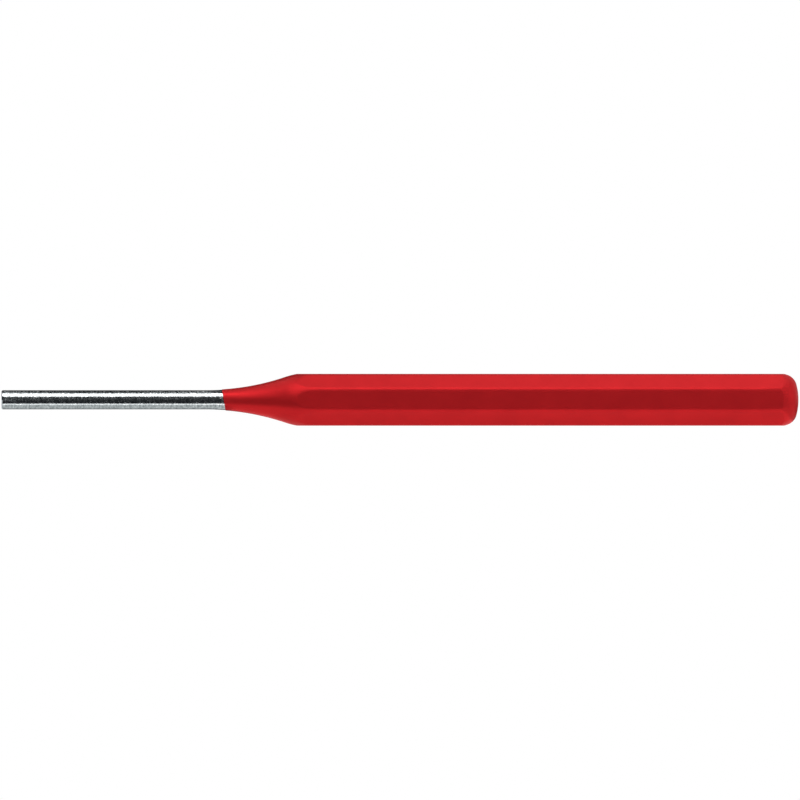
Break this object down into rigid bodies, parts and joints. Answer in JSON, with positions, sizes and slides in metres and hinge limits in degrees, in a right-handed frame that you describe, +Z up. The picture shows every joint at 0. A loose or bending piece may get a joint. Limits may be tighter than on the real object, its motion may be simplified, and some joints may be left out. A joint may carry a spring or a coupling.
{
  "type": "pin punch",
  "caption": "Parallel pin punch: slim ground steel pin that flares into an octagonal red-lacquered shank with a domed head, for driving out pins with a hammer.",
  "frame": {"origin": "centre of the tip's flat end face", "axes": "+X along the tool's axis from the tip to the struck head, +Z up, square to the flat that the tool lies on, +Y away from the viewer of the picture"},
  "size_m": [0.15, 0.0098, 0.0098],
  "materials": {
    "ground_tool_steel": "hardened tool steel, centreless-ground bright, with fine marks around the axis",
    "red_lacquer": "thin red dip lacquer, semi-gloss with a light orange peel"
  },
  "bodies": {
    "root": {"steel_blank": "ground_tool_steel", "lacquer_coat": "red_lacquer"}
  },
  "joints": []
}
